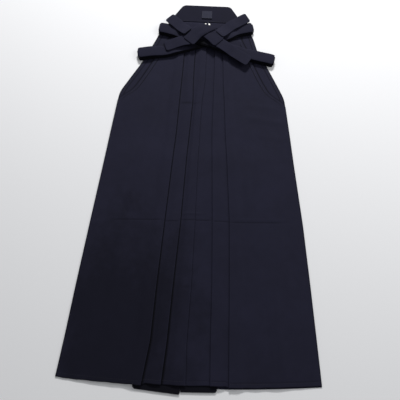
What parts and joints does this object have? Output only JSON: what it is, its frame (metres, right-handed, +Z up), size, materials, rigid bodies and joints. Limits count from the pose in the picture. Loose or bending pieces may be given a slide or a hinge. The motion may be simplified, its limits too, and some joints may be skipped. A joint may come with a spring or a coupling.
{
  "type": "hakama trousers laid flat with folded and knotted ties",
  "caption": "Pleated hakama trousers lying flat with the front up, a stiff back board at the waist and the ties folded across and knotted.",
  "frame": {"origin": "centre of the bounding box at floor level, under the cloth", "axes": "+Y from the hem towards the waist and back board, +X to the viewer's right, +Z up from the floor"},
  "size_m": [0.68, 1.1734, 0.0328],
  "materials": {
    "cloth": "matt navy twill",
    "inner_cloth": "matt dark navy twill",
    "tie_cloth": "matt navy twill, folded bands",
    "board_cloth": "matt navy twill over a stiff board",
    "label": "woven patch, bare",
    "plastic": "white satin"
  },
  "bodies": {
    "root": {"back_leg_left": "cloth", "back_leg_right": "cloth", "inner_leg_left": "inner_cloth", "inner_leg_right": "inner_cloth", "front_leg_left": "cloth", "front_leg_right": "cloth", "front_waistband": "tie_cloth", "back_board": "board_cloth", "board_label": "label", "spatula": "plastic", "spatula_strap": "tie_cloth", "front_tie_left": "tie_cloth", "front_tie_right": "tie_cloth", "tie_upper_left": "tie_cloth", "tie_tail_left": "tie_cloth", "tie_tail_right": "tie_cloth", "knot_left": "tie_cloth", "tie_upper_right": "tie_cloth", "knot_right": "tie_cloth"}
  },
  "joints": []
}
